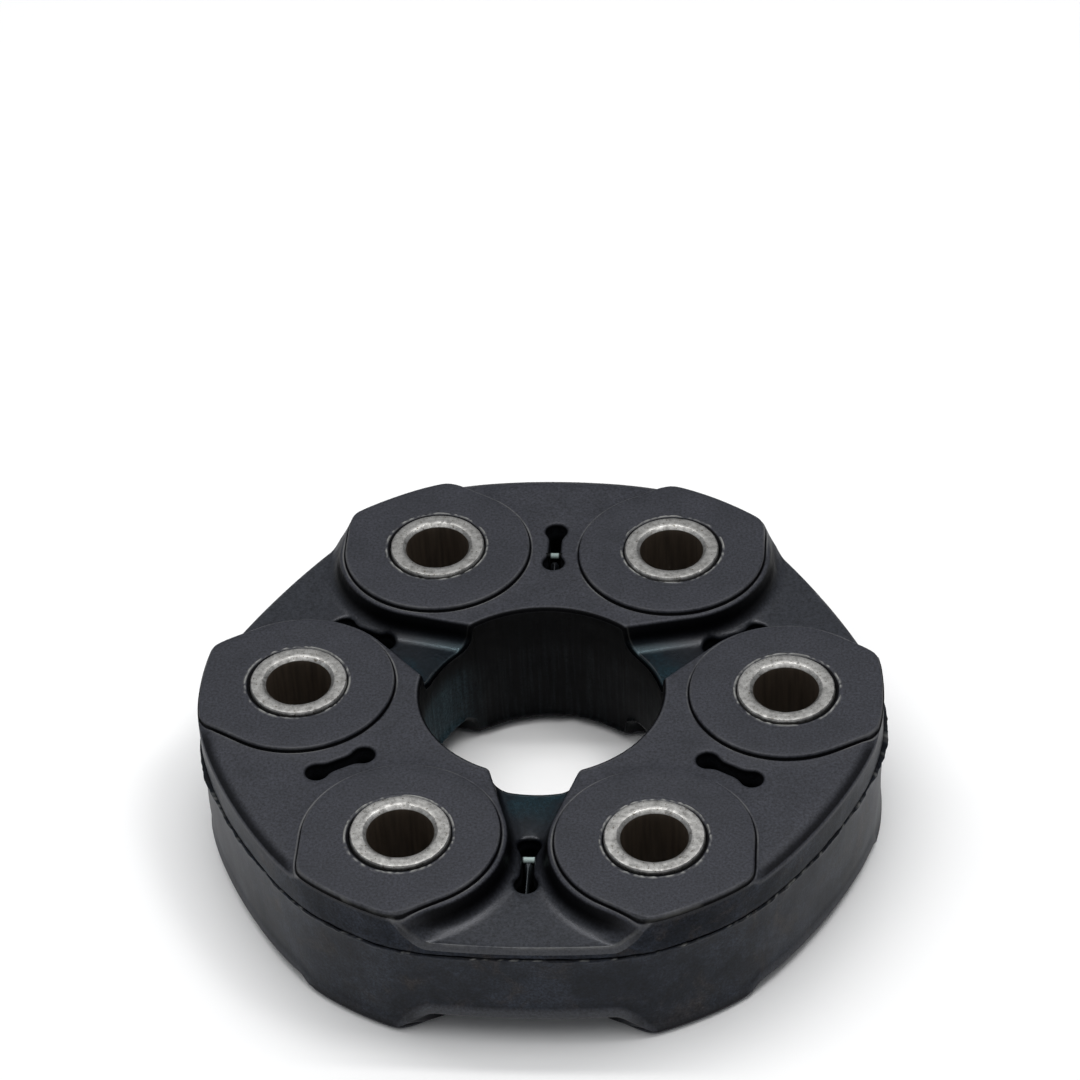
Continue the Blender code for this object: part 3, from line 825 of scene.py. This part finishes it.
def set_inputs(node, inputs):
    """Sets inputs, named or numbered as i0, i1 and so on, to a value, a hex colour or a node's output.

    A node that is given whole stands for its first output in use.
    """
    for name, value in inputs.items():
        socket = node.inputs[int(name[1:])] if name[0] == "i" and name[1:].isdigit() else node.inputs[name]
        if isinstance(value, str) and value.startswith("#"):
            value = linear(value)
        if isinstance(value, bpy.types.Node):
            value = next(output for output in value.outputs if output.enabled)
        if isinstance(value, bpy.types.NodeSocket):
            node.id_data.links.new(value, socket)
        else:
            socket.default_value = value


def add_node(tree, kind, settings=None, **inputs):
    """A node with its settings and inputs."""
    node = tree.nodes.new(kind)
    for name, value in (settings or {}).items():
        setattr(node, name, value)
    set_inputs(node, inputs)
    return node


# Kinds of node and settings that come up often
NOISE = "ShaderNodeTexNoise"
RANGE = "ShaderNodeMapRange"
MIX = "ShaderNodeMix"
MATH = "ShaderNodeMath"
RGBA = {"data_type": "RGBA"}
MULTIPLY_RGBA = {"data_type": "RGBA", "blend_type": "MULTIPLY"}
SMOOTH = {"interpolation_type": "SMOOTHSTEP"}
MULTIPLY = {"operation": "MULTIPLY"}
MULTIPLY_ADD = {"operation": "MULTIPLY_ADD"}
SINE = {"operation": "SINE"}


def new_material(name):
    """A material, a function that adds a node to it, and its shader."""
    made = bpy.data.materials.new(name)
    made.use_nodes = True
    return made, partial(add_node, made.node_tree), made.node_tree.nodes["Principled BSDF"]


def rubber_material():
    """Black moulded rubber: matt above, cloudy bloom at the side, glossy low webs, streaks in the holes."""
    made, add, shader = new_material("moulded_rubber")
    place = add("ShaderNodeTexCoord").outputs["Object"]
    tone = {name: add("ShaderNodeAttribute", {"attribute_name": name}).outputs["Fac"] for name in TONES}
    # Matt faces: slight mottling a few millimetres across
    mottle = add(NOISE, Vector=place, Scale=1 / (5.5 * MM), Detail=5.0, Roughness=0.6)
    top = add(MIX, RGBA, i0=mottle, i6="#1a1c21", i7="#303138")
    grain = add(NOISE, Vector=place, Scale=1 / (0.5 * MM), Detail=3.0, Roughness=0.7)
    speckle = add(RANGE, i0=grain, i1=0.3, i2=0.7, i3=0.3, i4=1.7)
    # Outer wall: bluish and brownish bloom in clouds, with a few darker stains
    cloud = add(NOISE, Vector=place, Scale=1 / (13 * MM), Detail=7.0, Roughness=0.62)
    cloud_edge = add(RANGE, SMOOTH, i0=cloud, i1=0.4, i2=0.6)
    wall = add(MIX, RGBA, i0=cloud_edge, i6="#0f131a", i7="#1e222a")
    brown = add(NOISE, Vector=place, Scale=1 / (9 * MM), Detail=6.0, Roughness=0.7, Distortion=0.6)
    brown_spots = add(RANGE, SMOOTH, i0=brown, i1=0.52, i2=0.72)
    wall = add(MIX, RGBA, i0=brown_spots, i6=wall, i7="#292524")
    scuffs = add(NOISE, Vector=place, Scale=1 / (2.6 * MM), Detail=8.0, Roughness=0.8)
    scuffed = add(RANGE, i0=scuffs, i1=0.32, i2=0.68, i3=0.45, i4=1.6)
    wall = add(MIX, MULTIPLY_RGBA, i0=1.0, i6=wall, i7=scuffed)
    colour = add(MIX, RGBA, i0=tone["side"], i6=top, i7=wall)
    # Floors of the low webs: darker, with a teal bloom towards the bore
    spread = add("ShaderNodeVectorMath", MULTIPLY, i0=place, i1=(1.0, 1.0, 0.0))
    from_axis = add("ShaderNodeVectorMath", {"operation": "LENGTH"}, i0=spread)
    near_bore = add(RANGE, SMOOTH, i0=from_axis, i1=22 * MM, i2=36 * MM, i3=1.0, i4=0.0)
    teal_clouds = add(MATH, MULTIPLY, i0=near_bore, i1=cloud_edge)
    floor = add(MIX, RGBA, i0=teal_clouds, i6="#0e1015", i7="#0c1f26")
    far_out = add(RANGE, SMOOTH, i0=from_axis, i1=36 * MM, i2=52 * MM)
    floor = add(MIX, RGBA, i0=far_out, i6=floor, i7="#26282d")
    colour = add(MIX, RGBA, i0=tone["floor"], i6=colour, i7=floor)
    # Holes: painted shade keeps them near black, with thin upright streaks, a painted teal sheen low on the
    # left side, and darker towards the top
    upright = add("ShaderNodeVectorMath", MULTIPLY, i0=place, i1=(1.0, 1.0, 0.05))
    streaks = add(NOISE, Vector=upright, Scale=1 / (0.8 * MM), Detail=3.0, Roughness=0.6)
    streak_lines = add(RANGE, i0=streaks, i1=0.45, i2=0.75)
    hole = add(MIX, RGBA, i0=streak_lines, i6="#020203", i7="#14181a")
    parts = add("ShaderNodeSeparateXYZ", Vector=place)
    left = add(RANGE, SMOOTH, i0=parts.outputs["X"], i1=-12 * MM, i2=-21 * MM, i3=0.0, i4=0.8)
    low_down = add(RANGE, SMOOTH, i0=parts.outputs["Z"], i1=23 * MM, i2=17 * MM)
    left_low = add(MATH, MULTIPLY, i0=left, i1=low_down)
    sheen = add(MATH, MULTIPLY, i0=left_low, i1=streaks)
    hole = add(MIX, RGBA, i0=sheen, i6=hole, i7="#3b5058")
    dim = add(RANGE, i0=low_down, i3=0.25, i4=1.0)
    hole = add(MIX, MULTIPLY_RGBA, i0=1.0, i6=hole, i7=dim)
    colour = add(MIX, RGBA, i0=tone["hollow"], i6=colour, i7=hole)
    # Painted shade keeps the folds black
    colour = add(MIX, RGBA, i0=tone["shade"], i6=colour, i7="#020203")
    colour = add(MIX, MULTIPLY_RGBA, i0=1.0, i6=colour, i7=speckle)
    # Paler torn lips round the sleeves, and painted highlights along the pads' edges, the rims and the
    # flash
    colour = add(MIX, RGBA, i0=tone["lip"], i6=colour, i7="#8e8e8b")
    # Painted highlight on the ties and the fins of flash
    colour = add(MIX, RGBA, i0=tone["tie"], i6=colour, i7="#9fb0ad")
    # Gloss: matt above, smoother on the floors of the low webs and on the upper part of the wall
    matt = add(RANGE, i0=mottle, i1=0.3, i2=0.7, i3=0.5, i4=0.62)
    smooth = add(RANGE, i0=near_bore, i1=0.0, i2=1.0, i3=0.33, i4=0.22)
    gloss = add(MIX, i0=tone["floor"], i2=matt, i3=smooth)
    gloss = add(MIX, i0=tone["side"], i2=gloss, i3=0.42)
    gloss = add(MIX, i0=tone["upper"], i2=gloss, i3=0.38)
    covered = add(MATH, {"operation": "MAXIMUM"}, i0=tone["hollow"], i1=tone["shade"])
    open_shine = add(RANGE, i0=tone["side"], i1=0.0, i2=1.0, i3=0.4, i4=0.16)
    open_shine = add(MIX, i0=tone["upper"], i2=open_shine, i3=0.06)
    shine = add(MIX, i0=covered, i2=open_shine, i3=0.08)
    teal_gleam = add(MATH, MULTIPLY, i0=near_bore, i1=tone["floor"])
    gleam = add(MIX, RGBA, i0=teal_gleam, i6="#f8f9ff", i7="#cef3ff")
    # Relief: fine grain, upright streaks on the walls and swirling scuffs on the floors
    swirls = add(NOISE, Vector=place, Scale=1 / (16 * MM), Detail=2.0, Distortion=0.4)
    swirl_rows = add(MATH, MULTIPLY, i0=swirls, i1=150.0)
    swirl_lines = add(MATH, SINE, i0=swirl_rows)
    swirl_depth = add(MATH, MULTIPLY, i0=swirl_lines, i1=tone["floor"])
    relief = add(MATH, MULTIPLY_ADD, i0=swirl_depth, i1=0.12, i2=grain)
    relief = add(MATH, MULTIPLY_ADD, i0=streaks, i1=0.8, i2=relief)
    bump = add("ShaderNodeBump", Strength=0.25, Distance=0.08 * MM, Height=relief)
    gloss_inputs = {"Roughness": gloss, "Specular IOR Level": shine, "Specular Tint": gleam}
    set_inputs(shader, {"Base Color": colour, "Normal": bump, **gloss_inputs})
    return made


def steel_material():
    """Turned steel gone dull: mottled grey with dark specks, and a near-black brown skin in the bores."""
    made, add, shader = new_material("turned_steel")
    place = add("ShaderNodeTexCoord").outputs["Object"]
    inner = add("ShaderNodeAttribute", {"attribute_name": "inner"}).outputs["Fac"]
    mottle = add(NOISE, Vector=place, Scale=1 / (1.1 * MM), Detail=6.0, Roughness=0.7)
    shade = add(RANGE, i0=mottle, i1=0.3, i2=0.7)
    face = add(MIX, RGBA, i0=shade, i6="#737270", i7="#cbcac7")
    speck = add(NOISE, Vector=place, Scale=1 / (0.5 * MM), Detail=2.0)
    specks = add(RANGE, i0=speck, i1=0.62, i2=0.7)
    face = add(MIX, RGBA, i0=specks, i6=face, i7="#6b655c")
    upright = add("ShaderNodeVectorMath", MULTIPLY, i0=place, i1=(1.0, 1.0, 0.06))
    streaks = add(NOISE, Vector=upright, Scale=1 / (0.7 * MM), Detail=3.0)
    skin = add(MIX, RGBA, i0=streaks, i6="#191512", i7="#5a4e42")
    colour = add(MIX, RGBA, i0=inner, i6=face, i7=skin)
    metal = add(MATH, {"operation": "SUBTRACT"}, i0=1.0, i1=inner)
    dull = add(RANGE, i0=mottle, i1=0.3, i2=0.7, i3=0.52, i4=0.38)
    bump = add("ShaderNodeBump", Strength=0.3, Distance=0.03 * MM, Height=mottle)
    set_inputs(shader, {"Base Color": colour, "Metallic": metal, "Roughness": dull, "Normal": bump})
    return made


def cord_material():
    """Twisted polyester cord, tan, with the darker rubber it was soaked in between its strands."""
    made, add, shader = new_material("polyester_cord")
    along = add("ShaderNodeAttribute", {"attribute_name": "along"}).outputs["Fac"]
    around = add("ShaderNodeAttribute", {"attribute_name": "around"}).outputs["Fac"]
    turns = add(MATH, MULTIPLY_ADD, i0=along, i1=1 / (2.4 * MM), i2=around)
    phase = add(MATH, MULTIPLY, i0=turns, i1=6 * pi)
    wave = add(MATH, SINE, i0=phase)
    strand = add(RANGE, i0=wave, i1=-1.0, i2=0.2)
    colour = add(MIX, RGBA, i0=strand, i6="#3b352b", i7="#aea289")
    bump = add("ShaderNodeBump", Strength=0.6, Distance=0.12 * MM, Height=wave)
    set_inputs(shader, {"Base Color": colour, "Roughness": 0.85, "Normal": bump})
    return made


def nylon_material():
    """Black glass-filled nylon: satin, with the short fibres as faint pale flecks."""
    made, add, shader = new_material("nylon_collar")
    place = add("ShaderNodeTexCoord").outputs["Object"]
    drawn = add("ShaderNodeVectorMath", MULTIPLY, i0=place, i1=(1.0, 0.25, 1.0))
    fibre = add(NOISE, Vector=drawn, Scale=1 / (0.4 * MM), Detail=2.0)
    flecks = add(RANGE, i0=fibre, i1=0.58, i2=0.72)
    colour = add(MIX, RGBA, i0=flecks, i6="#2e2e2e", i7="#4a4a48")
    bump = add("ShaderNodeBump", Strength=0.2, Distance=0.04 * MM, Height=fibre)
    set_inputs(shader, {"Base Color": colour, "Roughness": 0.5, "Normal": bump})
    return made


def floor_material():
    """White studio paper: no gloss."""
    made, _, shader = new_material("studio_paper")
    set_inputs(shader, {"Base Color": "#ffffff", "Roughness": 0.95, "Specular IOR Level": 0.1})
    return made


def dress(obj, material):
    obj.data.materials.clear()
    obj.data.materials.append(material)


# Camera, found by fitting the photograph: angles in radians, and millimetres from its target in the plane
# of the sleeves' upper ends
CAMERA_AZIMUTH = 0.09806917503
CAMERA_ELEVATION = 0.70241985056
CAMERA_ROLL = -0.05181863081
CAMERA_FOCAL_PX = 3853.78185
PHOTO_PX = 1080
CAMERA_TARGET = (-2.83483893, 40.81496668)
CAMERA_DISTANCE = 740.35251633


def add_camera():
    az, el, roll = CAMERA_AZIMUTH, CAMERA_ELEVATION, CAMERA_ROLL
    forward = Vector((-sin(az) * cos(el), cos(az) * cos(el), -sin(el)))
    level = Vector((cos(az), sin(az), 0.0))
    rise = level.cross(forward)
    right = cos(roll) * level + sin(roll) * rise
    up = -sin(roll) * level + cos(roll) * rise
    target = Vector((*CAMERA_TARGET, SLEEVE_LENGTH))
    data = bpy.data.cameras.new("camera")
    data.sensor_width = 36.0
    data.lens = data.sensor_width * CAMERA_FOCAL_PX / PHOTO_PX
    data.clip_start = 0.01
    data.clip_end = 50.0
    camera = put_in_scene("camera", data)
    turn = Matrix((right, up, -forward)).transposed()
    camera.matrix_world = Matrix.Translation((target - forward * CAMERA_DISTANCE) * MM) @ turn.to_4x4()
    bpy.context.scene.camera = camera


# Soft boxes: place, point aimed at and size in metres, then power in watts and colour
WHITE = (1.0, 1.0, 1.0)
SOFT_BOXES = {
    "overhead": ((-0.06, -0.02, 0.9), (0.0, 0.0, 0.0), (1.3, 1.0), 6.0, (1.0, 0.995, 0.99)),
    "strip": ((0.0, 0.2, 0.9), (0.0, 0.0, 0.0), (1.2, 0.07), 2.8, WHITE),
    "key": ((0.36, 0.0, 0.88), (0.0, 0.0, 0.0), (0.2, 0.2), 1.1, WHITE),
    "front": ((0.0, -1.0, 0.12), (0.0, 0.0, 0.01), (0.8, 0.16), 0.7, WHITE),
    "left": ((-0.9, -0.15, 0.4), (0.0, 0.0, 0.0), (0.3, 0.6), 0.35, (0.92, 0.97, 1.0)),
}


def add_soft_box(name, place, target, size, power, colour):
    data = bpy.data.lights.new(name, "AREA")
    data.shape = "RECTANGLE"
    data.size, data.size_y = size
    data.energy = power
    data.color = colour
    light = put_in_scene(name, data)
    light.location = place
    light.rotation_mode = "QUATERNION"
    light.rotation_quaternion = (Vector(target) - Vector(place)).to_track_quat("-Z", "Y")


def add_studio():
    world = bpy.data.worlds.new("studio")
    bpy.context.scene.world = world
    world.use_nodes = True
    world.node_tree.nodes.clear()
    add = partial(add_node, world.node_tree)
    seen = add("ShaderNodeLightPath").outputs["Is Camera Ray"]
    glow = add("ShaderNodeBackground", Color=(0.93, 0.96, 1.0, 1.0), Strength=0.22)
    white = add("ShaderNodeBackground", Color=(1.0, 1.0, 1.0, 1.0), Strength=1.0)
    add("ShaderNodeOutputWorld", Surface=add("ShaderNodeMixShader", Fac=seen, i1=glow, i2=white))
    for name, settings in SOFT_BOXES.items():
        add_soft_box(name, *settings)
    bpy.ops.mesh.primitive_plane_add(size=4.0, location=(0, 0, 0))
    floor = bpy.context.object
    floor.name = "floor"
    dress(floor, floor_material())


# Wound cord
CORD_R = 0.52
CORD_CLEARANCE = 0.4
CORD_PITCH = 1.06
CORD_LAYERS = 4
CORD_SIDES = 7
CORD_BEND_STEPS = 14


def wound_path(web, foot, top):
    """The line a cord follows as it is wound round the two sleeves beside a web, layer over layer."""
    inner = SLEEVE_R + CORD_CLEARANCE + CORD_R
    rows = int((top - foot - 2 * CORD_R) / CORD_PITCH) + 1
    lift = (top - foot - 2 * CORD_R - (rows - 1) * CORD_PITCH) / 2 + CORD_R
    turns = []
    for layer in range(CORD_LAYERS):
        levels = range(1, rows - 1) if layer == CORD_LAYERS - 1 else range(rows)
        levels = levels if layer % 2 == 0 else reversed(levels)
        turns += [(inner + layer * CORD_PITCH, foot + lift + level * CORD_PITCH) for level in levels]
    points = []
    for r, z in turns:
        for side in (1, -1):
            for i in range(CORD_BEND_STEPS + 1):
                a = pi * (i / CORD_BEND_STEPS - 0.5)
                across = side * (SLEEVE_ACROSS + r * cos(a))
                points.append((across, SLEEVE_OUT + side * r * sin(a), z))
    points = np.array(points)
    return np.column_stack([in_web(points[:, :2], web), points[:, 2]])


def cord_tree():
    """Sweeps a round cord along each line of a mesh and notes how far along and around each point lies."""
    tree = bpy.data.node_groups.new("wound_cord", "GeometryNodeTree")
    kinds = {"Geometry": "Geometry", "Cord radius": "Float", "Sides": "Int", "Material": "Material"}
    for name, kind in kinds.items():
        tree.interface.new_socket(name, in_out="INPUT", socket_type=f"NodeSocket{kind}")
    tree.interface.new_socket("Geometry", in_out="OUTPUT", socket_type="NodeSocketGeometry")
    add = partial(add_node, tree)
    given = add("NodeGroupInput").outputs
    line = add("GeometryNodeMeshToCurve", Mesh=given["Geometry"])
    at = add("GeometryNodeSplineParameter").outputs
    line = add("GeometryNodeStoreNamedAttribute", Geometry=line, Name="along", Value=at["Length"])
    sizes = {"Resolution": given["Sides"], "Radius": given["Cord radius"]}
    section = add("GeometryNodeCurvePrimitiveCircle", **sizes)
    section = add("GeometryNodeStoreNamedAttribute", Geometry=section, Name="around", Value=at["Factor"])
    tube = add("GeometryNodeCurveToMesh", **{"Curve": line, "Profile Curve": section, "Fill Caps": True})
    real = add("GeometryNodeRealizeInstances", Geometry=tube)
    coloured = add("GeometryNodeSetMaterial", Geometry=real, Material=given["Material"])
    add("NodeGroupOutput", Geometry=coloured)
    return tree


def wound_loop(name, web, foot, top, tree, material):
    """A cord loop: its line, swept by Geometry Nodes and kept as a plain mesh."""
    path = wound_path(web, foot, top) * MM
    mesh = bpy.data.meshes.new(name)
    mesh.from_pydata(path.tolist(), [(i, i + 1) for i in range(len(path) - 1)], [])
    made = put_in_scene(name, mesh)
    modifier = made.modifiers.new("cord", "NODES")
    modifier.node_group = tree
    values = {"Cord radius": CORD_R * MM, "Sides": CORD_SIDES, "Material": material}
    for socket in tree.interface.items_tree:
        if socket.in_out == "INPUT" and socket.name in values:
            modifier[socket.identifier] = values[socket.name]
    graph = bpy.context.evaluated_depsgraph_get()
    swept = bpy.data.meshes.new_from_object(made.evaluated_get(graph))
    made.modifiers.clear()
    made.data = swept
    swept.shade_smooth()
    return made


rubber = rubber_material()
steel = steel_material()
cord = cord_material()
nylon = nylon_material()

body = rubber_body()
dress(body, rubber)
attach(body, "root")
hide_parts("rubber_body")
for number in range(1, SLEEVES + 1):
    sleeve = turned_sleeve(f"turned_sleeve_{number}", number - 1)
    dress(sleeve, steel)
    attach(sleeve, "root")
    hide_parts(f"steel_sleeve_{number}")
winding = cord_tree()
for layer, first_web in (("middle", 0), ("upper", 1), ("lower", 1)):
    for number in (1, 2, 3):
        low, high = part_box(f"{layer}_cord_loop_{number}")
        web = first_web + 2 * (number - 1)
        loop = wound_loop(f"{layer}_wound_cord_{number}", web, low.z / MM, high.z / MM, winding, cord)
        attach(loop, "root")
        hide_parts(f"{layer}_cord_loop_{number}")
for name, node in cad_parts.items():
    if "collar" in name:
        dress(node, nylon)

add_camera()
add_studio()
bpy.context.scene.view_settings.view_transform = "Standard"
